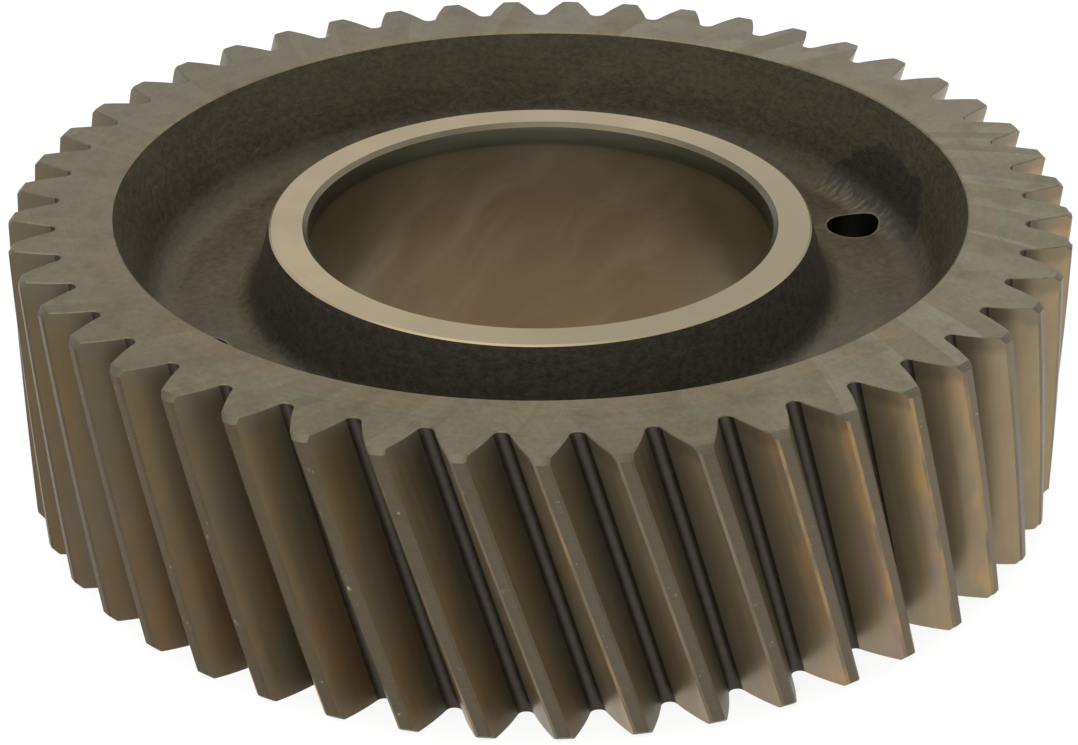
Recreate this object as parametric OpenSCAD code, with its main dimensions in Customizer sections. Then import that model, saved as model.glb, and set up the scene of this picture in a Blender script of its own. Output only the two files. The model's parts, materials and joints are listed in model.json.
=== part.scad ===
// Helical gear: one forged and ground steel piece, with a bored hub, a thin web and a toothed rim.
// Millimetres. +Z is the bore axis. The origin is on that axis, midway between the two rim faces.
// The first web hole is on +X, and at the lower rim face a tooth is centred on +X.

/* [Teeth] */
// Number of teeth
teeth = 47; // [46:1:60]
// Normal module, the size of a tooth measured square to its flank
normal_module = 4; // [4:0.25:5]
// Normal pressure angle, in degrees
pressure_angle = 25; // [20:0.5:25]
// Helix angle at the pitch circle, in degrees, left-hand
helix_angle = 16.8; // [12:0.1:25]
// Tooth height above the pitch circle, in modules
addendum = 1; // [0.8:0.05:1.05]
// Tooth depth below the pitch circle, in modules
dedendum = 1.25; // [1.1:0.01:1.28]
// Radius of the fillet in the tooth root
root_fillet = 1.4; // [0.8:0.1:1.4]
// Break along both edges of a tooth's tip
tip_break = 0.35; // [0.2:0.05:0.5]
// Chamfer at both ends of the tooth tips
end_chamfer = 1.1; // [0.4:0.1:1.5]

/* [Rim and web] */
// Width of the toothed rim along the axis
face_width = 56.5; // [50:0.5:70]
// Thickness of the rim under the tooth roots, at its faces
rim_wall = 10.7; // [8:0.1:12]
// Depth of each recess, from the rim face to the web
recess_depth = 20.6; // [18:0.1:22]
// Draft of the rim's inner wall, in degrees
rim_draft = 17; // [5:0.5:18]
// Fillet between the rim and the web
rim_fillet = 8; // [4:0.5:9]
// Diameter of the two holes through the web
web_hole_d = 10.6; // [6:0.2:12]
// Diameter of the circle that the web holes sit on
web_hole_circle_d = 138.8; // [132:0.2:142]

/* [Hub] */
// Diameter of the bore
bore_d = 90; // [84:0.5:92]
// Chamfer at both ends of the bore
bore_chamfer = 0.9; // [0.5:0.1:2]
// Length of the tapered lead-in under the upper chamfer
lead_in = 3.4; // [2:0.1:6]
// Taper of the lead-in, in degrees
lead_in_taper = 8; // [2:0.5:10]
// Outer diameter of the hub at its end faces
hub_d = 105.6; // [100:0.2:107]
// How far the upper hub face lies below the rim face
hub_drop = 5.6; // [3:0.1:7]
// Draft of the hub's outer wall, in degrees
hub_draft = 16; // [4:0.5:18]
// Fillet between the hub and the web
hub_fillet = 5; // [3:0.5:6]

/* [Hidden] */

// Steps along a flank, round a root fillet and up the twisted teeth
flank_steps = 3;
fillet_steps = 2;
twist_slices = 5;

// Overrun of cuts past the faces they open
past = 1;
$fn = 96;

degrees_per_radian = 180 / PI;
pitch_r = teeth * normal_module / (2 * cos(helix_angle));
transverse_angle = atan(tan(pressure_angle) / cos(helix_angle));
base_r = pitch_r * cos(transverse_angle);
tip_r = pitch_r + addendum * normal_module;
root_r = pitch_r - dedendum * normal_module;
twist = face_width * tan(helix_angle) / pitch_r * degrees_per_radian;

recess_r = root_r - rim_wall;
web_z = face_width / 2 - recess_depth;
hub_z = face_width / 2 - hub_drop;

// Involute function of an angle, in degrees
function involute(angle) = tan(angle) * degrees_per_radian - angle;

// Pressure angle on the flank at radius r
function flank_angle(r) = acos(base_r / r);

// Half of the angle that a tooth takes up at radius r
function half_tooth(r) = 90 / teeth + involute(transverse_angle) - involute(flank_angle(r));

function polar(r, angle) = r * [cos(angle), sin(angle)];

function reversed(list) = [for (i = [len(list) - 1:-1:0]) list[i]];

// The fillet's centre is on the involute that runs root_fillet away from the flank
fillet_centre_r = root_r + root_fillet;
fillet_centre_angle = half_tooth(fillet_centre_r) + root_fillet / base_r * degrees_per_radian;
fillet_sweep = 90 - flank_angle(fillet_centre_r);
flank_length = sqrt(pow(fillet_centre_r, 2) - pow(base_r, 2)) - root_fillet;
flank_start_r = sqrt(pow(base_r, 2) + pow(flank_length, 2));
flank_end_r = tip_r - tip_break;

// One side of a tooth, from its root up to its tip
fillet_points = [
    for (i = [0:fillet_steps - 1])
        polar(fillet_centre_r, fillet_centre_angle)
        + polar(root_fillet, fillet_centre_angle - 180 + fillet_sweep * i / fillet_steps)
];
flank_points = [
    for (i = [0:flank_steps])
        let (r = flank_start_r + (flank_end_r - flank_start_r) * i / flank_steps)
        polar(r, half_tooth(r))
];
tip_point = polar(tip_r, half_tooth(tip_r) - tip_break / tip_r * degrees_per_radian);
tooth_side = concat(fillet_points, flank_points, [tip_point]);

// A whole tooth, anticlockwise about +X
tooth = concat([for (p = tooth_side) [p.x, -p.y]], reversed(tooth_side));

module tooth_outline() {
    polygon([
        for (i = [0:teeth - 1])
            let (c = cos(360 / teeth * i), s = sin(360 / teeth * i))
            for (p = tooth) [c * p.x - s * p.y, s * p.x + c * p.y]
    ]);
}

module toothed_disc() {
    linear_extrude(height = face_width, center = true, twist = twist, slices = twist_slices)
        tooth_outline();
}

// Turned outside of the blank, which bevels the ends of the teeth
module turned_blank() {
    rotate_extrude()
        polygon([
            [0, -face_width / 2],
            [tip_r - end_chamfer, -face_width / 2],
            [tip_r + past, -face_width / 2 + end_chamfer + past],
            [tip_r + past, face_width / 2 - end_chamfer - past],
            [tip_r - end_chamfer, face_width / 2],
            [0, face_width / 2]
        ]);
}

// Half section of a recess: sloping walls, a flat web and a round fillet in each corner
module recess_section(hub_end_z) {
    rim_foot_r = recess_r - recess_depth * tan(rim_draft);
    hub_foot_r = hub_d / 2 + (hub_end_z - web_z) * tan(hub_draft);
    outer_x = rim_foot_r - rim_fillet * tan(45 - rim_draft / 2);
    inner_x = hub_foot_r + hub_fillet * tan(45 - hub_draft / 2);
    outer_centre = [outer_x, web_z + rim_fillet];
    inner_centre = [inner_x, web_z + hub_fillet];
    top_z = face_width / 2 + past;
    polygon([
        [outer_x, web_z],
        outer_centre,
        outer_centre + polar(rim_fillet, -rim_draft),
        [recess_r, face_width / 2],
        [recess_r, top_z],
        [0, top_z],
        [0, hub_end_z],
        [hub_d / 2, hub_end_z],
        inner_centre + polar(hub_fillet, 180 + hub_draft),
        inner_centre,
        [inner_x, web_z]
    ]);
    intersection() {
        translate(outer_centre) circle(r = rim_fillet);
        translate([outer_x, web_z]) square(rim_fillet);
    }
    intersection() {
        translate(inner_centre) circle(r = hub_fillet);
        translate([inner_x - hub_fillet, web_z]) square(hub_fillet);
    }
}

module recess(hub_end_z) {
    rotate_extrude() recess_section(hub_end_z);
}

// The bore tapers open near its upper end, and has a chamfer at both ends
module bore() {
    bore_r = bore_d / 2;
    lead_r = bore_r + lead_in * tan(lead_in_taper);
    low_z = -face_width / 2;
    rotate_extrude()
        polygon([
            [0, low_z - past],
            [bore_r + bore_chamfer + past, low_z - past],
            [bore_r, low_z + bore_chamfer],
            [bore_r, hub_z - bore_chamfer - lead_in],
            [lead_r, hub_z - bore_chamfer],
            [lead_r + bore_chamfer + past, hub_z + past],
            [0, hub_z + past]
        ]);
}

module web_holes() {
    for (side = [-1, 1])
        translate([side * web_hole_circle_d / 2, 0, 0])
            cylinder(d = web_hole_d, h = face_width, center = true);
}

module helical_gear() {
    color("#6f675a")
        difference() {
            intersection() {
                toothed_disc();
                turned_blank();
            }
            recess(hub_z);
            mirror([0, 0, 1]) recess(face_width / 2);
            bore();
            web_holes();
        }
}

helical_gear();
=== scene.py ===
import json
import math
import random
from types import SimpleNamespace

import bpy
import numpy as np
from mathutils import Matrix, Vector, noise


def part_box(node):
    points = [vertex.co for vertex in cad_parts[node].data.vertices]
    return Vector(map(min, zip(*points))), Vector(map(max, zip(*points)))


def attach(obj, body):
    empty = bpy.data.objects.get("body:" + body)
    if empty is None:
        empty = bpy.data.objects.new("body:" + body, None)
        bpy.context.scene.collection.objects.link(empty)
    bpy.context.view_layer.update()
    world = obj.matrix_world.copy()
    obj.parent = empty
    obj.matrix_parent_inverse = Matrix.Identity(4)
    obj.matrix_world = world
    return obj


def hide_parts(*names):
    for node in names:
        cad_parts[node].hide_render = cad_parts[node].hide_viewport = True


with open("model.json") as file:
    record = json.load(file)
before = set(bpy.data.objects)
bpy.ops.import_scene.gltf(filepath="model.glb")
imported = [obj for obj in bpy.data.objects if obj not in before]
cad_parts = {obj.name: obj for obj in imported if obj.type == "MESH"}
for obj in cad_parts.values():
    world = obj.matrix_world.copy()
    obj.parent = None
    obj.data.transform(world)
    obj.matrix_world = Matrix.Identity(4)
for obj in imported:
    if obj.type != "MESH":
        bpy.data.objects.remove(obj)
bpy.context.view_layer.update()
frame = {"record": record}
mm = 0.001


# the gear's shape in millimetres and degrees; its width and bore come from the frame
gearForm = {
    "teeth": 47,
    "module": 4.0,  # square to the flank
    "pressureAngle": 25.0,
    "helixAngle": 16.8,  # left-hand
    "addendum": 1.0,
    "dedendum": 1.25,
    "rootFillet": 1.4,
    "tipBreak": 0.35,
    "endChamfer": 1.1,
    "endBreak": 0.18,  # fine bevel round the ends of the tooth gaps
    "rimWall": 10.7,
    "recessDepth": 20.6,
    "rimDraft": 17.0,
    "rimFillet": 8.0,
    "recessBreak": 0.25,
    "webHole": 10.6,
    "webHoleCircle": 138.8,
    "boreChamfer": 0.9,
    "leadIn": 3.4,
    "leadInTaper": 8.0,
    "hub": 105.6,
    "hubDrop": 5.6,  # of the upper hub face only
    "hubDraft": 16.0,
    "hubFillet": 5.0,
    "hubBreak": 0.3,
    "forgedWave": 0.12,  # how far the forged skin strays from true
    "sharpFrom": 24.0,  # edges that turn more than this stay crisp
    "toneSeed": 11,  # for the small differences between teeth
}

# how finely each stretch is divided
gearSteps = {
    "root": 2, "fillet": 5, "flank": 8, "slices": 18, "perTooth": 6, "hole": 56,
    "rimWall": 6, "rimArc": 10, "web": 4, "hubArc": 8, "hubWall": 4, "hubFace": 2, "leadIn": 6, "bore": 8,
}

# depths below the tooth roots of the two rings that divide a rim face, and the bore's first narrow ring
rimRings = {"collar": 1.0, "body": 4.0}
boreRing = 0.4

# slow and quick waves of the forged skin: waves for each millimetre, and share of the height
forgedWaves = {"slow": (0.09, 0.75), "quick": (0.31, 0.35)}

# finishes, in the order of the gear's material slots
finishNames = [
    "rim", "hubFace", "bevel", "leadIn", "bore", "forged",
    "coastFlank", "driveFlank", "root", "tip", "toothEnd", "coastEdge", "driveEdge", "drilled",
]
finish = {name: index for index, name in enumerate(finishNames)}


def involute(angle):
    return math.tan(angle) - angle


def workOutSizes(form):
    low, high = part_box("helical_gear")
    bore = next(m for m in frame["record"]["mounts"] if m["name"] == "bore")
    helix = math.radians(form["helixAngle"])
    size = SimpleNamespace(teeth=form["teeth"])
    size.half = (high.z - low.z) / mm / 2
    size.boreR = bore["dims"]["r_mm"]
    size.pitchR = form["teeth"] * form["module"] / (2 * math.cos(helix))
    size.press = math.atan(math.tan(math.radians(form["pressureAngle"])) / math.cos(helix))
    size.baseR = size.pitchR * math.cos(size.press)
    size.tipR = size.pitchR + form["addendum"] * form["module"]
    size.rootR = size.pitchR - form["dedendum"] * form["module"]
    size.turn = -math.tan(helix) / size.pitchR  # radians for each millimetre up
    # the solid has a tooth on +X at its lower face
    size.start = size.turn * size.half % (math.tau / form["teeth"])
    size.recessR = size.rootR - form["rimWall"]
    size.webZ = size.half - form["recessDepth"]
    size.leadR = size.boreR + form["leadIn"] * math.tan(math.radians(form["leadInTaper"]))
    size.leadTop = size.half - form["hubDrop"] - form["boreChamfer"]
    size.leadLow = size.leadTop - form["leadIn"]
    return size


gearSize = workOutSizes(gearForm)


def halfTooth(size, r):
    return math.pi / 2 / size.teeth + involute(size.press) - involute(math.acos(size.baseR / r))


def polar(r, angle):
    return np.array([r * math.cos(angle), r * math.sin(angle)])


# one side of a tooth from the middle of the gap up to the tip's edge, each point with the
# stretch that follows it
def toothSide(form, size):
    fillet = form["rootFillet"]
    centreR = size.rootR + fillet
    centreAngle = halfTooth(size, centreR) + fillet / size.baseR
    sweep = math.pi / 2 - math.acos(size.baseR / centreR)
    flankStart = math.hypot(size.baseR, math.sqrt(centreR**2 - size.baseR**2) - fillet)
    gapAngle = math.pi / size.teeth
    points = []
    for i in range(gearSteps["root"]):
        angle = gapAngle + (centreAngle - gapAngle) * i / gearSteps["root"]
        points.append((polar(size.rootR, angle), "root"))
    for i in range(gearSteps["fillet"]):
        around = centreAngle - math.pi + sweep * i / gearSteps["fillet"]
        points.append((polar(centreR, centreAngle) + polar(fillet, around), "root"))
    chamferFoot = size.tipR - form["endChamfer"]
    for r in np.linspace(flankStart, chamferFoot, gearSteps["flank"] + 1):
        points.append((polar(r, halfTooth(size, r)), "flank"))
    points[-1] = (points[-1][0], "flankTop")
    flankEnd = size.tipR - form["tipBreak"]
    points.append((polar(flankEnd, halfTooth(size, flankEnd)), "edge"))
    points.append((polar(size.tipR, halfTooth(size, size.tipR) - form["tipBreak"] / size.tipR), "tip"))
    return points


# the whole toothed outline, anticlockwise
def toothedOutline(form, size):
    side = toothSide(form, size)
    tooth = [p * (1, -1) for p, _ in side] + [np.array([size.tipR, 0.0])] + [p for p, _ in side[:0:-1]]
    kinds = [k for _, k in side] + ["tip"] + [k for _, k in side[-2::-1]]
    ring = []
    for i in range(size.teeth):
        c, s = math.cos(math.tau * i / size.teeth), math.sin(math.tau * i / size.teeth)
        ring += [(c * p[0] - s * p[1], s * p[0] + c * p[1]) for p in tooth]
    return np.array(ring), kinds


# heights down the teeth, how far the outline is drawn in there, and the largest radius
def toothLevels(form, size):
    chamferR = size.tipR - form["endChamfer"]
    ends = [
        (size.half, form["endBreak"], chamferR),
        (size.half - form["endBreak"], 0.0, chamferR + form["endBreak"]),
        (size.half - form["endChamfer"], 0.0, size.tipR),
    ]
    reach = size.half - form["endChamfer"]
    middle = np.linspace(reach, -reach, gearSteps["slices"] + 1)[1:-1]
    upper = ends + [(z, 0.0, size.tipR) for z in middle]
    return upper + [(-z, inset, r) for z, inset, r in reversed(ends)]


def turned(points, angle):
    c, s = math.cos(angle), math.sin(angle)
    return points @ np.array([[c, s], [-s, c]])


def arc(centre, radius, start, end, steps):
    angles = np.radians(np.linspace(start, end, steps + 1))
    return [(centre[0] + radius * math.cos(a), centre[1] + radius * math.sin(a)) for a in angles]


def between(first, last, steps):
    return [tuple(p) for p in np.linspace(first, last, steps + 1)]


# half section of one side, from the rim face in to the mouth of the bore, as points with their finish
def sideSection(form, size, startR, hubZ, mouthR):
    rimDraft, hubDraft = math.radians(form["rimDraft"]), math.radians(form["hubDraft"])
    rimFootR = size.recessR - form["recessDepth"] * math.tan(rimDraft)
    hubFootR = form["hub"] / 2 + (hubZ - size.webZ) * math.tan(hubDraft)
    rimFillet, hubFillet = form["rimFillet"], form["hubFillet"]
    outer = (rimFootR - rimFillet * math.tan(math.pi / 4 - rimDraft / 2), size.webZ + rimFillet)
    inner = (hubFootR + hubFillet * math.tan(math.pi / 4 - hubDraft / 2), size.webZ + hubFillet)
    rimArc = arc(outer, rimFillet, -form["rimDraft"], -90, gearSteps["rimArc"])
    hubArc = arc(inner, hubFillet, -90, -180 + form["hubDraft"], gearSteps["hubArc"])
    edge, hubEdge, hubR = form["recessBreak"], form["hubBreak"], form["hub"] / 2
    chamfer = form["boreChamfer"]
    wallTop = (size.recessR - edge * math.tan(rimDraft), size.half - edge)
    hubWallTop = (hubR + hubEdge * math.tan(hubDraft), hubZ - hubEdge)
    return [
        ([(startR, size.half), (size.recessR + edge, size.half)], "rim"),
        ([(size.recessR + edge, size.half), wallTop], "rim"),
        (between(wallTop, rimArc[0], gearSteps["rimWall"]), "forged"),
        (rimArc, "forged"),
        (between(rimArc[-1], hubArc[0], gearSteps["web"]), "forged"),
        (hubArc, "forged"),
        (between(hubArc[-1], hubWallTop, gearSteps["hubWall"]), "forged"),
        ([hubWallTop, (hubR - hubEdge, hubZ)], "hubFace"),
        (between((hubR - hubEdge, hubZ), (mouthR + chamfer, hubZ), gearSteps["hubFace"]), "hubFace"),
        ([(mouthR + chamfer, hubZ), (mouthR, hubZ - chamfer)], "bevel"),
    ]


# the whole half section, from the upper rim face through the bore to the lower one
def bodySection(form, size, startR):
    upper = sideSection(form, size, startR, size.half - form["hubDrop"], size.leadR)
    lower = sideSection(form, size, startR, size.half, size.boreR)
    ringed = (size.boreR, size.leadLow - boreRing)
    bore = [
        (between((size.leadR, size.leadTop), (size.boreR, size.leadLow), gearSteps["leadIn"]), "leadIn"),
        ([(size.boreR, size.leadLow), ringed], "bore"),
        (between(ringed, (size.boreR, form["boreChamfer"] - size.half), gearSteps["bore"]), "bore"),
    ]
    mirrored = [([(r, -z) for r, z in reversed(points)], kind) for points, kind in reversed(lower)]
    section = [(r, z, kind) for points, kind in upper + bore + mirrored for r, z in points[:-1]]
    return section + [(startR, -size.half, "rim")]


def forgedStray(point):
    (slowRate, slowShare), (quickRate, quickShare) = forgedWaves["slow"], forgedWaves["quick"]
    slow = noise.noise(Vector(point) * slowRate)
    quick = noise.noise(Vector(point) * quickRate + Vector((7.0, 3.0, 1.0)))
    return slowShare * slow + quickShare * quick


def makeGearMesh(form, size):
    verts, faces, kinds, tone, rise = [], [], [], [], []
    outline, ringKinds = toothedOutline(form, size)
    count, perTooth = len(outline), len(ringKinds)
    tangent = np.roll(outline, -1, 0) - np.roll(outline, 1, 0)
    outward = np.stack([tangent[:, 1], -tangent[:, 0]], 1) / np.linalg.norm(tangent, axis=1)[:, None]
    levels = toothLevels(form, size)
    dice = random.Random(form["toneSeed"])
    toneOfTooth = [dice.random() for _ in range(size.teeth)]

    def addRing(points, z, tones, rises):
        start = len(verts)
        verts.extend((x, y, z) for x, y in points)
        tone.extend(tones)
        rise.extend(rises)
        return start

    def addFace(corners, kind):
        faces.append(corners)
        kinds.append(finish[kind])

    toothTones = [toneOfTooth[i // perTooth] for i in range(count)]
    outlineR = np.linalg.norm(outline, axis=1)
    toothRises = list((outlineR - size.rootR) / (size.tipR - size.rootR))
    rings = []
    for z, inset, largest in levels:
        points = outline - outward * inset
        reach = np.linalg.norm(points, axis=1)
        points = points * np.minimum(1.0, largest / reach)[:, None]
        rings.append(addRing(turned(points, size.turn * z), z, toothTones, toothRises))

    # teeth, with the fold of the end chamfer kept on the right diagonal
    last = len(levels) - 2
    for k in range(len(levels) - 1):
        endBand = k < 2 or k > last - 2
        bevelBand = k in (0, last)
        for i in range(count):
            j = (i + 1) % count
            kind = ringKinds[i % perTooth]
            quad = [rings[k] + i, rings[k + 1] + i, rings[k + 1] + j, rings[k] + j]
            lowerSide = i % perTooth < perTooth // 2
            side = "drive" if lowerSide else "coast"
            if kind != "flankTop" or not endBand:
                if endBand and kind in ("tip", "edge"):
                    kind = "toothEnd"
                elif bevelBand:
                    kind = "rim"
                elif kind == "edge":
                    kind = side + "Edge"
                elif kind in ("flank", "flankTop"):
                    kind = side + "Flank"
                addFace(quad, kind)
                continue
            topEnd = k < 2
            flankKind = "rim" if bevelBand else side + "Flank"
            if lowerSide == topEnd:
                first, second = [quad[0], quad[1], quad[2]], [quad[0], quad[2], quad[3]]
            else:
                first, second = [quad[0], quad[1], quad[3]], [quad[1], quad[2], quad[3]]
            if topEnd:
                corner = quad[3] if lowerSide else quad[0]
            else:
                corner = quad[2] if lowerSide else quad[1]
            addFace(first, "toothEnd" if corner in first and corner not in second else flankKind)
            addFace(second, "toothEnd" if corner in second and corner not in first else flankKind)

    # revolved body, as a chain of rings that turn with the teeth
    section = bodySection(form, size, size.rootR - rimRings["body"])
    segments = size.teeth * gearSteps["perTooth"]
    around = (np.arange(segments) / gearSteps["perTooth"] - 0.5) * math.tau / size.teeth
    bodyRings = []
    for index, (r, z, kind) in enumerate(section):
        angles = around + size.turn * z
        points = np.stack([r * np.cos(angles), r * np.sin(angles)], 1)
        bodyRings.append(addRing(points, z, [0.5] * segments, [0.0] * segments))
        before = section[index - 1][2] if index else kind
        if kind == "forged" and before == "forged":
            ahead, behind = section[index + 1], section[index - 1]
            along = np.array([ahead[0] - behind[0], ahead[1] - behind[1]])
            square = np.array([along[1], -along[0]]) / np.linalg.norm(along)
            for i in range(segments):
                x, y, _ = verts[bodyRings[-1] + i]
                move = forgedStray((x, y, z)) * form["forgedWave"]
                grow = 1 + square[0] * move / r
                verts[bodyRings[-1] + i] = (x * grow, y * grow, z + square[1] * move)
    for index in range(len(section) - 1):
        a, b = bodyRings[index], bodyRings[index + 1]
        for i in range(segments):
            j = (i + 1) % segments
            addFace([a + i, a + j, b + j, b + i], section[index][2])

    # rim faces between the tooth ends and the first and last body rings
    fine = perTooth // gearSteps["perTooth"]
    upperFace = (rings[0], bodyRings[0], size.half, True)
    lowerFace = (rings[-1], bodyRings[-1], -size.half, False)
    for ring, bodyRing, z, up in (upperFace, lowerFace):
        edge = np.array(verts[ring:ring + count])[:, :2]
        edge = edge / np.linalg.norm(edge, axis=1)[:, None] * (size.rootR - rimRings["collar"])
        collar = addRing(edge, z, toothTones, [0.0] * count)
        for i in range(count):
            j = (i + 1) % count
            quad = [ring + i, ring + j, collar + j, collar + i]
            addFace(quad if up else quad[::-1], "rim")
        for s in range(segments):
            near, far = bodyRing + s, bodyRing + (s + 1) % segments
            chain = [collar + (s * fine + q) % count for q in range(fine + 1)]
            middle = fine // 2
            fans = [[near, chain[q], chain[q + 1]] for q in range(middle)]
            fans.append([near, chain[middle], far])
            fans += [[far, chain[q], chain[q + 1]] for q in range(middle, fine)]
            for tri in fans:
                addFace(tri if up else tri[::-1], "rim")

    mesh = bpy.data.meshes.new("gear")
    mesh.from_pydata([(x * mm, y * mm, z * mm) for x, y, z in verts], [], faces)
    mesh.polygons.foreach_set("material_index", kinds)
    mesh.attributes.new("toothTone", "FLOAT", "POINT").data.foreach_set("value", tone)
    mesh.attributes.new("toothRise", "FLOAT", "POINT").data.foreach_set("value", rise)
    mesh.validate()
    mesh.update()
    return mesh


# the two holes drilled through the web
def drillWeb(gear, form, size):
    steps = gearSteps["hole"]
    r, depth = form["webHole"] / 2, size.webZ + form["rimFillet"] * 0.9  # past the fillet that it cuts
    cutter = bpy.data.meshes.new("webDrill")
    verts, faces = [], []
    for side in (-1, 1):
        start = len(verts)
        for z in (depth, -depth):
            for i in range(steps):
                p = polar(r, math.tau * i / steps)
                verts.append(((side * form["webHoleCircle"] / 2 + p[0]) * mm, p[1] * mm, z * mm))
        top, low = start, start + steps
        for i in range(steps):
            j = (i + 1) % steps
            faces.append([top + i, low + i, low + j, top + j])
        faces.append([top + i for i in range(steps)])
        faces.append([low + i for i in reversed(range(steps))])
    cutter.from_pydata(verts, [], faces)
    for material in gear.data.materials:
        cutter.materials.append(material)
    cutter.polygons.foreach_set("material_index", [finish["drilled"]] * len(faces))
    drill = bpy.data.objects.new("webDrill", cutter)
    bpy.context.scene.collection.objects.link(drill)
    cut = gear.modifiers.new("webHoles", "BOOLEAN")
    cut.operation = "DIFFERENCE"
    cut.solver = "EXACT"
    cut.object = drill
    bpy.context.view_layer.update()
    solved = bpy.data.meshes.new_from_object(gear.evaluated_get(bpy.context.evaluated_depsgraph_get()))
    gear.modifiers.clear()
    gear.data = solved
    bpy.data.objects.remove(drill)
    bpy.data.meshes.remove(cutter)


# small helpers for the finishes
def wire(tree, socket, value):
    if isinstance(value, bpy.types.NodeSocket):
        tree.links.new(value, socket)
    else:
        socket.default_value = value


def put(tree, kind, sockets=None, **settings):
    node = tree.nodes.new("ShaderNode" + kind)
    for key, value in settings.items():
        setattr(node, key, value)
    for key, value in (sockets or {}).items():
        wire(tree, node.inputs[key], value)
    return node


def calc(tree, operation, a, b=0.0):
    return put(tree, "Math", {0: a, 1: b}, operation=operation).outputs[0]


def times(tree, first, *others):
    for other in others:
        first = calc(tree, "MULTIPLY", first, other)
    return first


def vectorCalc(tree, operation, a, b=(0.0, 0.0, 0.0)):
    return put(tree, "VectorMath", {0: a, 1: b}, operation=operation).outputs[0]


def scaled(tree, vector, amount):
    return put(tree, "VectorMath", {0: vector, 3: amount}, operation="SCALE").outputs[0]


def speckle(tree, vector, scale, detail=3.0, rough=0.55):
    sockets = {"Vector": vector, "Scale": scale, "Detail": detail, "Roughness": rough}
    return put(tree, "TexNoise", sockets).outputs[0]


def spread(tree, value, low, high, outLow=0.0, outHigh=1.0):
    return put(tree, "MapRange", {0: value, 1: low, 2: high, 3: outLow, 4: outHigh}).outputs[0]


# a number that wanders from low to high with a speckle, which seldom leaves these limits
def vary(tree, pattern, low, high):
    return spread(tree, pattern, 0.3, 0.7, low, high)


def blend(tree, amount, first, second, mode="MIX"):
    first, second = (c if isinstance(c, bpy.types.NodeSocket) else (*c, 1.0) for c in (first, second))
    return put(tree, "Mix", {0: amount, 6: first, 7: second}, data_type="RGBA", blend_type=mode).outputs[2]


def emboss(tree, height, depth, strength=1.0, under=None):
    sockets = {"Strength": strength, "Distance": depth * mm, "Height": height}
    if under is not None:
        sockets["Normal"] = under
    return put(tree, "Bump", sockets).outputs[0]


def attribute(tree, name):
    return put(tree, "Attribute", attribute_name=name).outputs["Fac"]


def swung(tree, vector, angle):
    sockets = {"Vector": vector, "Angle": angle}
    return put(tree, "VectorRotate", sockets, rotation_type="Z_AXIS").outputs[0]


# place in millimetres, measured round from the first web hole, with its distance from the axis,
# height and direction
def gearPlace(tree):
    inFrame = scaled(tree, put(tree, "TexCoord").outputs["Object"], 1 / mm)
    place = swung(tree, inFrame, -gearSize.start)
    flat = vectorCalc(tree, "MULTIPLY", place, (1.0, 1.0, 0.0))
    radius = put(tree, "VectorMath", {0: flat}, operation="LENGTH").outputs["Value"]
    unit = vectorCalc(tree, "NORMALIZE", flat)
    height = put(tree, "SeparateXYZ", {0: place}).outputs["Z"]
    return SimpleNamespace(place=place, radius=radius, unit=unit, height=height)


# a vector that changes slowly round the axis and quickly across it
def roundTheAxis(tree, unit, slow, across, quick):
    lift = put(tree, "CombineXYZ", {2: times(tree, across, quick)}).outputs[0]
    return vectorCalc(tree, "ADD", scaled(tree, unit, slow), lift)


# how far a place lies in one direction
def reachAlong(tree, place, direction):
    return put(tree, "VectorMath", {0: place, 1: direction}, operation="DOT_PRODUCT").outputs["Value"]


# 1 towards one direction round the gear, given in degrees, fading to 0 away from it
def sideOf(tree, at, angle, near, far):
    angle, near, far = (math.radians(a) for a in (angle, near, far))
    toward = (math.cos(angle), math.sin(angle), 0.0)
    return spread(tree, reachAlong(tree, at.unit, toward), math.cos(far), math.cos(near))


def startFinish(name, metallic):
    material = bpy.data.materials.new(name)
    material.use_nodes = True
    shader = material.node_tree.nodes["Principled BSDF"]
    shader.inputs["Metallic"].default_value = metallic
    return material, material.node_tree, shader


def endFinish(tree, shader, colour, roughness, normal):
    wire(tree, shader.inputs["Base Color"], colour)
    wire(tree, shader.inputs["Roughness"], roughness)
    wire(tree, shader.inputs["Normal"], normal)


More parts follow.
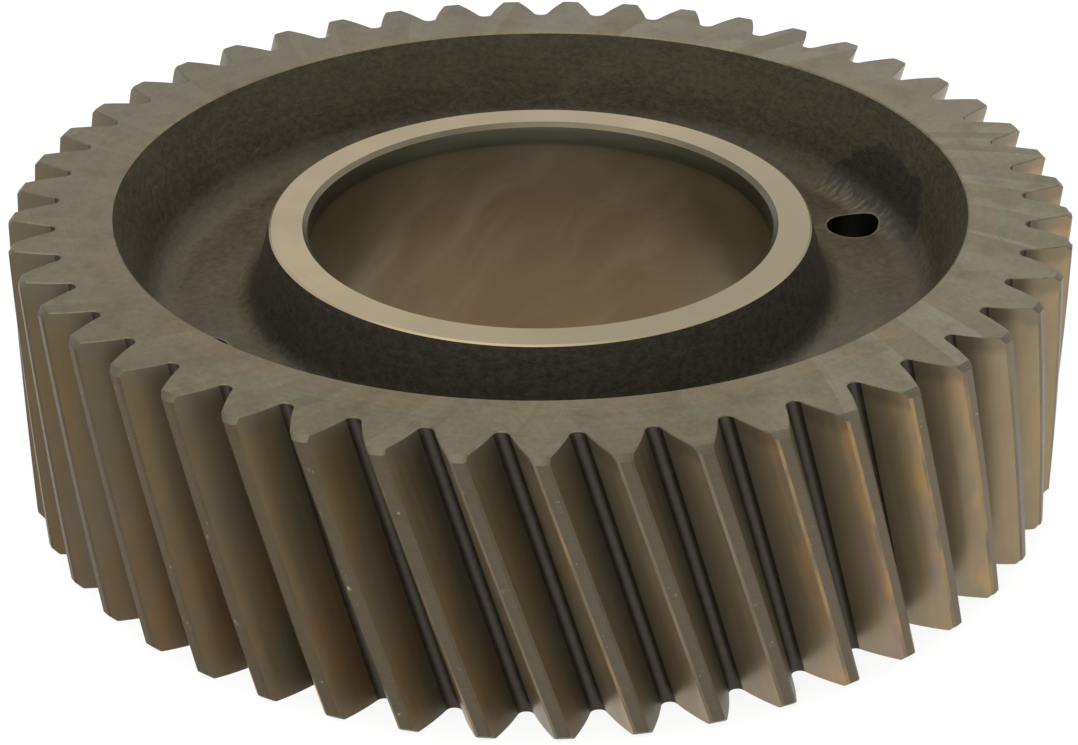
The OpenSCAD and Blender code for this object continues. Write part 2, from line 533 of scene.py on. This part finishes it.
# the gear's finishes: linear colours, places in millimetres, and sides in degrees round from the first
# web hole; a pair of places is where something starts and ends
gearFinish = {
    "rim": (0.136, 0.120, 0.074),
    "rimWarm": (0.158, 0.122, 0.068),
    "rimPale": (0.177, 0.161, 0.108),
    "rimStain": (0.112, 0.092, 0.055),
    "rimBrown": (0.150, 0.105, 0.055),
    "rimBrownSide": 203.0,
    "rimBrownBand": (89.5, 86.5),
    "rimWarmBand": (87.7, 88.1),
    "rimPaleReach": (-30.0, 50.0),
    "rimSweep": 0.004,  # radians that a grinding mark runs round for each millimetre outwards
    "rimSweepFrom": 82.0,
    "rimSectors": 6.0,  # how often the grinding wheel's tone starts again
    "hubFace": (0.402, 0.326, 0.199),
    "hubFaceDull": (0.343, 0.280, 0.173),
    # the hub face's greyer colour towards one side is painted shade
    "hubFaceGrey": (0.270, 0.228, 0.145),
    "hubGreySide": 305.0,
    "bevel": (0.122, 0.108, 0.073),
    "leadIn": (0.228, 0.212, 0.158),
    "leadInLow": (0.125, 0.122, 0.094),
    # the bore's colours by height, lighter low down, are a painted reflection of the floor's shading under
    # the bore
    "boreTop": (0.150, 0.119, 0.077),
    # lighter colour for the two sides of the bore along the wiping direction: painted light
    "boreSide": (0.172, 0.143, 0.074),
    "boreMiddle": (0.140, 0.091, 0.047),
    "boreLow": (0.188, 0.127, 0.066),
    "boreUpper": (18.0, 4.0),  # heights over which the top's colour gives way to the middle's
    "boreLower": (4.0, -24.0),
    "boreShadow": 2.0,  # depth of the dim strip under the lead-in
    "boreSmear": (0.260, 0.205, 0.130),
    "wipeSide": 338.0,  # direction that the wiped smears climb towards
    "wipeClimb": 42.0,  # and how steeply, in degrees
    "forged": (0.054, 0.043, 0.023),
    "forgedPale": (0.064, 0.052, 0.030),
    # dark colour of the patch behind the first web hole, partly oil and partly painted shade
    "forgedDark": (0.026, 0.021, 0.013),
    "hubWall": (0.047, 0.040, 0.028),
    "hubWallReach": (61.0, 58.0),
    # the web's paler colours are partly wear and partly painted light on its upward face
    "webPale": (0.084, 0.067, 0.036),
    "webDark": (0.072, 0.056, 0.029),
    "oilCentre": (2.0, 12.0),  # dark patch on the wall behind the first web hole, partly oil and partly painted shade: Y and Z
    "oilSpan": (18.0, 8.5),  # half its width and height
    "oilReach": (60.0, 66.0),
    "forgedRub": (0.21, 0.185, 0.130),  # bright ridges by the first web hole, and the painted highlight on each hole's broken edge
    "chatterY": 6.0,
    "chatterLength": (19.0, 8.0),
    "chatterRadius": 74.4,
    "chatterWidth": (2.6, 0.9),
    "chatterReach": (40.0, 55.0),
    "holeEdge": (0.6, 0.25),  # width of the painted highlight along the broken edge of a web hole
    # the coast flanks' darker colours and the drive flanks' brighter ones are painted shade and painted
    # light on the same ground steel
    "coast": (0.120, 0.105, 0.073),
    "coastWarm": (0.158, 0.110, 0.045),
    "drive": (0.300, 0.250, 0.165),
    "driveWarm": (0.370, 0.265, 0.130),
    "dullSide": 272.0,  # where the flanks are least golden, as painted shade
    "tarnish": (0.165, 0.098, 0.046),
    "tarnishSide": 222.0,  # and where they are painted browner, as painted shade
    "tarnishHeight": (12.0, -20.0),
    "runOut": (2.6, 4.4),  # depth of the duller strip under the rim face, a painted reflection of the end relief
    "temperGold": (0.52, 0.30, 0.10),
    "temperViolet": (0.30, 0.19, 0.20),
    "root": (0.043, 0.035, 0.027),
    # the lighter stripe along the bottom of each root is a painted reflection
    "rootStripe": (0.070, 0.058, 0.045),
    "tip": (0.117, 0.100, 0.071),
    # the tips are paler towards one side as painted light and browner towards the other as painted shade
    "tipPale": (0.160, 0.125, 0.081),
    "tipPaleSide": 338.0,
    "tipBrown": (0.103, 0.077, 0.046),
    "tipBrownSide": 180.0,
    "tipBright": (0.34, 0.30, 0.235),
    "toothEnd": (0.126, 0.113, 0.078),
    # the drive edge's colour, brighter than the coast edge's, is a painted highlight
    "coastEdge": (0.106, 0.084, 0.053),
    "driveEdge": (0.185, 0.152, 0.105),
    "driveEdgeGold": (0.300, 0.203, 0.092),
    "drilled": (0.07, 0.060, 0.046),
}


def tinted(tree, colour, shade):
    grey = put(tree, "CombineXYZ", {0: shade, 1: shade, 2: shade}).outputs[0]
    return blend(tree, 1.0, colour, grey, "MULTIPLY")


def groundRimFinish(look):
    material, tree, shader = startFinish("groundRim", 1.0)
    at = gearPlace(tree)
    swing = times(tree, calc(tree, "SUBTRACT", at.radius, look["rimSweepFrom"]), look["rimSweep"])
    sweep = swung(tree, at.unit, swing)
    sector = speckle(tree, scaled(tree, sweep, 3.6), 1.0, 1.0)
    # each sector fades across and ends crisply
    step = calc(tree, "FRACT", times(tree, sector, look["rimSectors"]))
    placeX = put(tree, "SeparateXYZ", {0: at.place}).outputs["X"]
    where = spread(tree, placeX, *look["rimPaleReach"], 0.45, 1.0)
    cloud = speckle(tree, at.place, 0.06, 3.0)
    mottle = speckle(tree, at.place, 0.9, 5.0, 0.65)
    fine = speckle(tree, scaled(tree, sweep, 170.0), 1.0, 3.0)
    rings = speckle(tree, roundTheAxis(tree, at.unit, 2.0, at.radius, 2.2), 1.0, 3.0)
    ragged = calc(tree, "ADD", at.radius, vary(tree, cloud, -0.5, 0.5))
    inner = spread(tree, ragged, *look["rimWarmBand"], 0.75, 0.15)
    colour = blend(tree, inner, look["rim"], look["rimWarm"])
    brownSide = sideOf(tree, at, look["rimBrownSide"], 12.0, 50.0)
    brownBand = spread(tree, at.radius, *look["rimBrownBand"], 0.0, 0.8)
    brown = times(tree, brownSide, spread(tree, rings, 0.45, 0.6), brownBand)
    colour = blend(tree, brown, colour, look["rimBrown"])
    colour = blend(tree, times(tree, step, where), colour, look["rimPale"])
    stain = speckle(tree, vectorCalc(tree, "ADD", at.place, (0.0, 0.0, 40.0)), 0.13, 5.0, 0.65)
    colour = blend(tree, spread(tree, stain, 0.50, 0.68, 0.0, 0.75), colour, look["rimStain"])
    shade = times(
        tree, vary(tree, cloud, 0.94, 1.06), vary(tree, mottle, 0.84, 1.16),
        vary(tree, fine, 0.97, 1.03), vary(tree, rings, 0.95, 1.05),
    )
    slant = {"Vector": at.place, "Rotation": (0.0, 0.0, 0.7), "Scale": (0.9, 0.05, 1.0)}
    slanted = put(tree, "Mapping", slant).outputs[0]
    scratch = spread(tree, speckle(tree, slanted, 1.0, 2.0), 0.63, 0.68, 1.0, 1.06)
    nick = spread(tree, speckle(tree, at.place, 0.8, 1.0), 0.79, 0.82, 1.0, 1.5)
    colour = tinted(tree, colour, times(tree, shade, scratch, nick))
    roughness = vary(tree, mottle, 0.38, 0.45)
    endFinish(tree, shader, colour, roughness, emboss(tree, rings, 0.003, 0.4))
    return material


def hubFaceFinish(look):
    material, tree, shader = startFinish("turnedHubFace", 1.0)
    at = gearPlace(tree)
    rings = speckle(tree, roundTheAxis(tree, at.unit, 2.0, at.radius, 3.0), 1.0, 3.0)
    patch = speckle(tree, scaled(tree, at.unit, 2.4), 1.0, 2.0)
    colour = blend(tree, spread(tree, patch, 0.35, 0.65), look["hubFaceDull"], look["hubFace"])
    # one side of the hub face greyer: painted shade
    colour = blend(tree, sideOf(tree, at, look["hubGreySide"], 20.0, 95.0), colour, look["hubFaceGrey"])
    colour = tinted(tree, colour, vary(tree, rings, 0.95, 1.04))
    endFinish(tree, shader, colour, vary(tree, rings, 0.31, 0.37), emboss(tree, rings, 0.003, 0.4))
    return material


def turnedFinish(name, base, rough):
    material, tree, shader = startFinish(name, 1.0)
    at = gearPlace(tree)
    rings = speckle(tree, roundTheAxis(tree, at.unit, 3.0, at.height, 5.0), 1.0, 3.0)
    patch = speckle(tree, at.place, 0.12, 3.0)
    shade = times(tree, vary(tree, rings, 0.9, 1.1), vary(tree, patch, 0.9, 1.1))
    colour = tinted(tree, put(tree, "RGB").outputs[0], shade)
    tree.nodes["RGB"].outputs[0].default_value = (*base, 1.0)
    roughness = vary(tree, rings, rough - 0.04, rough + 0.04)
    endFinish(tree, shader, colour, roughness, emboss(tree, rings, 0.003, 0.4))
    return material


# turned like the bevel above it, and darker towards its lower end
def leadInFinish(look, top, low):
    material, tree, shader = startFinish("boreLeadIn", 1.0)
    at = gearPlace(tree)
    rings = speckle(tree, roundTheAxis(tree, at.unit, 3.0, at.height, 5.0), 1.0, 3.0)
    colour = blend(tree, spread(tree, at.height, top, low), look["leadIn"], look["leadInLow"])
    colour = tinted(tree, colour, vary(tree, rings, 0.9, 1.1))
    roughness = vary(tree, rings, 0.32, 0.40)
    endFinish(tree, shader, colour, roughness, emboss(tree, rings, 0.003, 0.4))
    return material


# brown film with wiped smears; its colour lighter low down is a painted reflection of the floor's shading
# under the bore
def honedBoreFinish(look, top):
    material, tree, shader = startFinish("honedBore", 0.75)
    at = gearPlace(tree)
    rings = speckle(tree, roundTheAxis(tree, at.unit, 2.0, at.height, 1.2), 1.0, 4.0)
    side, climb = math.radians(look["wipeSide"]), math.radians(look["wipeClimb"])
    level = Vector((math.cos(side), math.sin(side), 0.0))
    stroke = level * math.cos(climb) + Vector((0.0, 0.0, math.sin(climb)))
    crossing = Vector((0.0, 0.0, math.cos(climb))) - level * math.sin(climb)
    bend = spread(tree, speckle(tree, at.place, 0.05, 1.0), 0.0, 1.0, -1.1, 1.1)
    smears = put(tree, "CombineXYZ", {
        0: calc(tree, "ADD", times(tree, reachAlong(tree, at.place, crossing), 0.14), bend),
        1: times(tree, reachAlong(tree, at.place, stroke), 0.022),
    }).outputs[0]
    wipe = speckle(tree, smears, 1.0, 3.0, 0.6)
    film = speckle(tree, vectorCalc(tree, "MULTIPLY", at.place, (1.0, 1.0, 0.7)), 0.045, 3.0)
    # lighter low down: painted reflection of the floor's shading under the bore
    colour = blend(tree, spread(tree, at.height, *look["boreUpper"]), look["boreTop"], look["boreMiddle"])
    colour = blend(tree, spread(tree, at.height, *look["boreLower"]), colour, look["boreLow"])
    # the two sides of the bore along the wiping direction lighter: painted light
    flat = calc(tree, "ABSOLUTE", reachAlong(tree, at.unit, level))
    colour = blend(tree, spread(tree, flat, 0.62, 0.95), colour, look["boreSide"])
    colour = blend(tree, spread(tree, wipe, 0.48, 0.78, 0.0, 0.34), colour, look["boreSmear"])
    drop = calc(tree, "SUBTRACT", top, at.height)
    dim = spread(tree, drop, 0.0, look["boreShadow"], 0.74, 1.0)
    colour = tinted(tree, colour, times(tree, vary(tree, film, 0.85, 1.13), dim))
    roughness = vary(tree, film, 0.28, 0.34)
    endFinish(tree, shader, colour, roughness, emboss(tree, rings, 0.002, 0.4))
    return material


def awayFrom(tree, value, centre):
    return calc(tree, "ABSOLUTE", calc(tree, "SUBTRACT", value, centre))


# 0 at the centre, 1 at the span and growing as the square
def squareFrom(tree, value, centre, span):
    share = calc(tree, "DIVIDE", calc(tree, "SUBTRACT", value, centre), span)
    return calc(tree, "POWER", share, 2.0)


# grainy skin left by the forge on the sloping walls, worn smoother and paler on the flat of the web; the
# paleness is partly painted light on the upward-facing web
def forgedFinish(look, form, size):
    material, tree, shader = startFinish("forgedSkin", 0.3)
    shader.inputs["Specular IOR Level"].default_value = 0.35
    at = gearPlace(tree)
    grain = speckle(tree, at.place, 0.7, 4.0, 0.65)
    cloud = speckle(tree, at.place, 0.07, 4.0)
    across = calc(tree, "ADD", at.radius, times(tree, at.height, 0.8))
    lay = speckle(tree, roundTheAxis(tree, at.unit, 9.0, across, 0.8), 1.0, 4.0)
    climb = calc(tree, "SUBTRACT", calc(tree, "ABSOLUTE", at.height), size.webZ)
    wall = spread(tree, calc(tree, "ADD", climb, vary(tree, cloud, -0.4, 0.4)), 0.6, 1.9)
    skin = blend(tree, spread(tree, cloud, 0.42, 0.66), look["forged"], look["forgedPale"])
    # dark patch on the wall behind the first hole, partly oil and partly painted shade
    parts = put(tree, "SeparateXYZ", {0: at.place}).outputs
    side, lift = (
        squareFrom(tree, parts[axis], centre, span)
        for axis, centre, span in zip("YZ", look["oilCentre"], look["oilSpan"])
    )
    ragged = vary(tree, speckle(tree, at.place, 0.16, 4.0), -0.45, 0.45)
    oilAndShade = spread(tree, calc(tree, "ADD", calc(tree, "ADD", side, lift), ragged), 1.05, 0.85)
    oilAndShade = times(tree, oilAndShade, spread(tree, parts["X"], *look["oilReach"]))
    skin = blend(tree, times(tree, oilAndShade, 0.9), skin, look["forgedDark"])
    skin = blend(tree, spread(tree, at.radius, *look["hubWallReach"]), skin, look["hubWall"])
    # paler web: partly wear, partly painted light on its upward face
    web = blend(tree, spread(tree, cloud, 0.40, 0.62), look["webDark"], look["webPale"])
    shade = times(tree, vary(tree, grain, 0.68, 1.32), vary(tree, lay, 0.88, 1.12))
    colour = tinted(tree, blend(tree, wall, web, skin), shade)
    normal = emboss(tree, cloud, 0.14, 0.3)
    normal = emboss(tree, grain, 0.22, 0.8, normal)
    # tool chatter rubbed bright along the edge of the web beside the first hole
    along = spread(tree, awayFrom(tree, parts["Y"], look["chatterY"]), *look["chatterLength"])
    belt = spread(tree, awayFrom(tree, at.radius, look["chatterRadius"]), *look["chatterWidth"])
    mask = times(tree, along, belt, spread(tree, parts["X"], *look["chatterReach"]))
    ridge = speckle(tree, vectorCalc(tree, "MULTIPLY", at.place, (0.35, 1.0, 0.35)), 1.0, 2.0)
    rubAndHighlight = times(tree, mask, spread(tree, ridge, 0.46, 0.66, 0.1, 1.0))
    # and a painted highlight along the broken edge of each hole
    spot = vectorCalc(tree, "MULTIPLY", vectorCalc(tree, "ABSOLUTE", at.place), (1.0, 1.0, 0.0))
    spot = vectorCalc(tree, "SUBTRACT", spot, (form["webHoleCircle"] / 2, 0.0, 0.0))
    reach = put(tree, "VectorMath", {0: spot}, operation="LENGTH").outputs["Value"]
    edgeStart, edgeEnd = (form["webHole"] / 2 + width for width in look["holeEdge"])
    rubAndHighlight = calc(tree, "MAXIMUM", rubAndHighlight, spread(tree, reach, edgeStart, edgeEnd))
    colour = blend(tree, times(tree, rubAndHighlight, 0.5), colour, look["forgedRub"])
    normal = emboss(tree, times(tree, ridge, mask), 0.6, 0.8, normal)
    endFinish(tree, shader, colour, vary(tree, grain, 0.42, 0.54), normal)
    return material


# greyish and darker towards the root, as painted shade deep in the tooth gap, and golden towards the tip,
# with a duller strip under the rim face that is a painted reflection of the end relief where the stroke
# ran out
def groundFlankFinish(look, side, rough, temper, half):
    material, tree, shader = startFinish(side + "Flank", 0.6)
    at = gearPlace(tree)
    toothTone, toothRise = attribute(tree, "toothTone"), attribute(tree, "toothRise")
    strokes = put(tree, "CombineXYZ", {
        0: times(tree, toothRise, 7.0),
        1: times(tree, toothTone, 40.0),
        2: times(tree, at.height, 0.02),
    }).outputs[0]
    lay = speckle(tree, strokes, 1.0, 2.0)
    patch = speckle(tree, vectorCalc(tree, "MULTIPLY", at.place, (1.0, 1.0, 0.45)), 0.09, 2.0)
    stain = speckle(tree, vectorCalc(tree, "MULTIPLY", at.place, (1.0, 1.0, 0.3)), 0.22, 3.0)
    # darker and greyer towards the root: painted shade deep in the tooth gap
    goldByRise = spread(tree, toothRise, 0.25, 0.9, 0.0, 0.6)
    gold = calc(tree, "ADD", goldByRise, spread(tree, patch, 0.35, 0.65, -0.15, 0.4))
    # flanks duller towards one side: painted shade
    plain = spread(tree, sideOf(tree, at, look["dullSide"], 10.0, 45.0), 0.0, 1.0, 1.0, 0.45)
    # the coast side's darker and the drive side's brighter colours are painted shade and painted light
    colour = blend(tree, times(tree, spread(tree, gold, 0.0, 1.0), plain), look[side], look[side + "Warm"])
    # flanks browner on one side and lower down: painted shade
    tarnish = times(
        tree, spread(tree, at.height, *look["tarnishHeight"], 0.0, 0.7), spread(tree, patch, 0.42, 0.58),
        sideOf(tree, at, look["tarnishSide"], 15.0, 50.0),
    )
    colour = blend(tree, tarnish, colour, look["tarnish"])
    shade = times(
        tree, spread(tree, toothTone, 0.0, 1.0, 0.9, 1.08), vary(tree, stain, 0.93, 1.07),
        vary(tree, lay, 0.95, 1.05),
    )
    colour = tinted(tree, colour, shade)
    heat = times(
        tree, spread(tree, toothRise, 0.45, 0.9), spread(tree, toothTone, 0.4, 0.8, 0.0, temper),
        spread(tree, stain, 0.42, 0.6),
    )
    hue = blend(tree, spread(tree, patch, 0.5, 0.62), look["temperGold"], look["temperViolet"])
    colour = blend(tree, heat, colour, hue)
    # duller strip under the rim face: painted reflection of the end relief
    drop = calc(tree, "ADD", calc(tree, "SUBTRACT", half, at.height), vary(tree, stain, -0.8, 0.8))
    colour = blend(tree, spread(tree, drop, *look["runOut"], 0.45, 0.0), colour, look["toothEnd"])
    roughness = vary(tree, lay, rough - 0.04, rough + 0.04)
    endFinish(tree, shader, colour, roughness, emboss(tree, lay, 0.003, 0.4))
    return material


# break along the driving side of a tip, brightened as a painted highlight, golden on some teeth
def driveEdgeFinish(look):
    material, tree, shader = startFinish("driveEdge", 1.0)
    at = gearPlace(tree)
    stain = speckle(tree, vectorCalc(tree, "MULTIPLY", at.place, (1.0, 1.0, 0.3)), 0.2, 3.0)
    goldenTooth = spread(tree, attribute(tree, "toothTone"), 0.45, 0.8)
    gold = times(tree, goldenTooth, spread(tree, stain, 0.42, 0.58))
    colour = blend(tree, gold, look["driveEdge"], look["driveEdgeGold"])
    colour = tinted(tree, colour, vary(tree, stain, 0.85, 1.15))
    endFinish(tree, shader, colour, vary(tree, stain, 0.26, 0.34), emboss(tree, stain, 0.01, 0.4))
    return material


def rootFinish(look):
    material, tree, shader = startFinish("darkRoot", 0.6)
    at = gearPlace(tree)
    grain = speckle(tree, at.place, 0.7, 4.0)
    # lighter stripe along the root's floor: painted reflection
    reflectionStripe = spread(tree, attribute(tree, "toothRise"), 0.002, 0.03, 0.8, 0.0)
    colour = blend(tree, reflectionStripe, look["root"], look["rootStripe"])
    colour = tinted(tree, colour, vary(tree, grain, 0.8, 1.2))
    endFinish(tree, shader, colour, vary(tree, grain, 0.44, 0.54), emboss(tree, grain, 0.02, 0.5))
    return material


def tipFinish(look):
    material, tree, shader = startFinish("turnedTip", 1.0)
    at = gearPlace(tree)
    rings = speckle(tree, roundTheAxis(tree, at.unit, 6.0, at.height, 2.4), 1.0, 3.0)
    nicks = speckle(tree, at.place, 0.55, 4.0, 0.7)
    # tips paler on one side and browner on the other: painted light and painted shade
    colour = blend(tree, sideOf(tree, at, look["tipPaleSide"], 20.0, 75.0), look["tip"], look["tipPale"])
    colour = blend(tree, sideOf(tree, at, look["tipBrownSide"], 20.0, 65.0), colour, look["tipBrown"])
    colour = blend(tree, spread(tree, nicks, 0.65, 0.71), colour, look["tipBright"])
    colour = tinted(tree, colour, vary(tree, rings, 0.9, 1.1))
    endFinish(tree, shader, colour, vary(tree, rings, 0.34, 0.46), emboss(tree, rings, 0.004, 0.5))
    return material


def makeFinishes(look, form, size):
    return {
        "rim": groundRimFinish(look),
        "hubFace": hubFaceFinish(look),
        "bevel": turnedFinish("boreBevel", look["bevel"], 0.32),
        "leadIn": leadInFinish(look, size.leadTop, size.leadLow),
        "bore": honedBoreFinish(look, size.leadLow),
        "forged": forgedFinish(look, form, size),
        # the two flank sides differ in colour as painted shade and painted light
        "coastFlank": groundFlankFinish(look, "coast", 0.42, 0.0, size.half),
        "driveFlank": groundFlankFinish(look, "drive", 0.36, 0.7, size.half),
        "root": rootFinish(look),
        "tip": tipFinish(look),
        "toothEnd": turnedFinish("toothEnd", look["toothEnd"], 0.40),
        "coastEdge": turnedFinish("coastEdge", look["coastEdge"], 0.34),
        "driveEdge": driveEdgeFinish(look),
        "drilled": turnedFinish("drilledHole", look["drilled"], 0.42),
    }


def makeGear(form, size, look):
    gear = bpy.data.objects.new("gear", makeGearMesh(form, size))
    bpy.context.scene.collection.objects.link(gear)
    finishes = makeFinishes(look, form, size)
    for name in finishNames:
        gear.data.materials.append(finishes[name])
    drillWeb(gear, form, size)
    gear.data.name = "gear"
    gear.data.transform(Matrix.Rotation(size.start, 4, "Z"))
    gear.data.polygons.foreach_set("use_smooth", [True] * len(gear.data.polygons))
    gear.data.set_sharp_from_angle(angle=math.radians(form["sharpFrom"]))
    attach(gear, "root")
    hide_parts("helical_gear")
    gear.data.calc_loop_triangles()
    print("gear:", len(gear.data.loop_triangles), "triangles")
    return gear


# floor and light
stageLook = {
    "floorSide": 8.0,
    "floorGap": 0.02,  # millimetres under the gear
    "floorColour": (0.80, 0.80, 0.80),
    "floorGlow": 0.86,  # what the eye and the polished steel see of it
    "floorShade": 0.22,  # what is left for the shadow to darken
    "skyForLight": 0.75,
    "lampSize": 1.4,
    "lamps": {"keyLamp": ((-0.5, -0.3, 1.3), 6.0), "fillLamp": ((0.7, 0.4, 1.1), 3.0)},  # place and power
}


# 1 where the eye or a reflection looks straight at a surface
def seenDirectly(tree):
    path = put(tree, "LightPath").outputs
    both = calc(tree, "MAXIMUM", path["Is Camera Ray"], path["Is Glossy Ray"])
    return calc(tree, "MAXIMUM", both, path["Is Transmission Ray"])


def makeFloor(look, height):
    side = look["floorSide"] / 2
    mesh = bpy.data.meshes.new("floor")
    corners = [(x * side, y * side, height) for x, y in ((-1, -1), (1, -1), (1, 1), (-1, 1))]
    mesh.from_pydata(corners, [], [(0, 1, 2, 3)])
    floor = bpy.data.objects.new("floor", mesh)
    bpy.context.scene.collection.objects.link(floor)
    material = bpy.data.materials.new("paleFloor")
    material.use_nodes = True
    tree = material.node_tree
    tree.nodes.clear()
    plain = put(tree, "BsdfDiffuse", {"Color": (*look["floorColour"], 1.0)}).outputs[0]
    shade = look["floorShade"]
    soft = put(tree, "BsdfDiffuse", {"Color": (shade, shade, shade, 1.0)}).outputs[0]
    glow = put(tree, "Emission", {"Strength": look["floorGlow"]}).outputs[0]
    white = put(tree, "AddShader", {0: glow, 1: soft}).outputs[0]
    mixed = put(tree, "MixShader", {0: seenDirectly(tree), 1: plain, 2: white}).outputs[0]
    put(tree, "OutputMaterial", {"Surface": mixed})
    mesh.materials.append(material)


def makeLight(look):
    world = bpy.data.worlds.new("studio")
    world.use_nodes = True
    tree = world.node_tree
    strength = spread(tree, seenDirectly(tree), 0.0, 1.0, look["skyForLight"], 1.0)
    wire(tree, tree.nodes["Background"].inputs["Color"], (1.0, 1.0, 1.0, 1.0))
    wire(tree, tree.nodes["Background"].inputs["Strength"], strength)
    bpy.context.scene.world = world
    for name, (place, power) in look["lamps"].items():
        data = bpy.data.lights.new(name, "AREA")
        data.size = look["lampSize"]
        data.energy = power
        lamp = bpy.data.objects.new(name, data)
        lamp.location = place
        lamp.rotation_mode = "QUATERNION"
        lamp.rotation_quaternion = Vector(place).to_track_quat("Z", "Y")
        bpy.context.scene.collection.objects.link(lamp)


# the photograph's viewpoint in millimetres and degrees, measured from the bore axis and the upper rim face
cameraPlace = {
    "lens": 91.1,
    "sensor": 36.0,
    "azimuth": -19.261,
    "distance": 481.0,
    "height": 225.2,
    "pitch": 28.894,
    "yaw": -0.056,
    "roll": -0.418,
}


def makeCamera(place, rimZ):
    data = bpy.data.cameras.new("camera")
    data.lens = place["lens"]
    data.sensor_fit = "HORIZONTAL"
    data.sensor_width = place["sensor"]
    data.clip_start, data.clip_end = 0.01, 50.0
    camera = bpy.data.objects.new("camera", data)
    pitch, yaw, roll = (math.radians(place[k]) for k in ("pitch", "yaw", "roll"))
    back = Vector((-math.sin(yaw) * math.cos(pitch), -math.cos(yaw) * math.cos(pitch), math.sin(pitch)))
    right = Vector((math.cos(yaw), -math.sin(yaw), 0.0))
    up = back.cross(right)
    rightRolled = right * math.cos(roll) + up * math.sin(roll)
    upRolled = up * math.cos(roll) - right * math.sin(roll)
    stand = Matrix((rightRolled, upRolled, back)).transposed().to_4x4()
    stand.translation = Vector((0.0, -place["distance"] * mm, rimZ + place["height"] * mm))
    camera.matrix_world = Matrix.Rotation(math.radians(place["azimuth"]), 4, "Z") @ stand
    bpy.context.scene.collection.objects.link(camera)
    bpy.context.scene.camera = camera


bpy.context.scene.view_settings.view_transform = "Standard"
low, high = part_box("helical_gear")
makeGear(gearForm, gearSize, gearFinish)
print("gear made")
makeFloor(stageLook, low.z - stageLook["floorGap"] * mm)
makeLight(stageLook)
print("floor and light made")
makeCamera(cameraPlace, high.z)
print("camera placed")
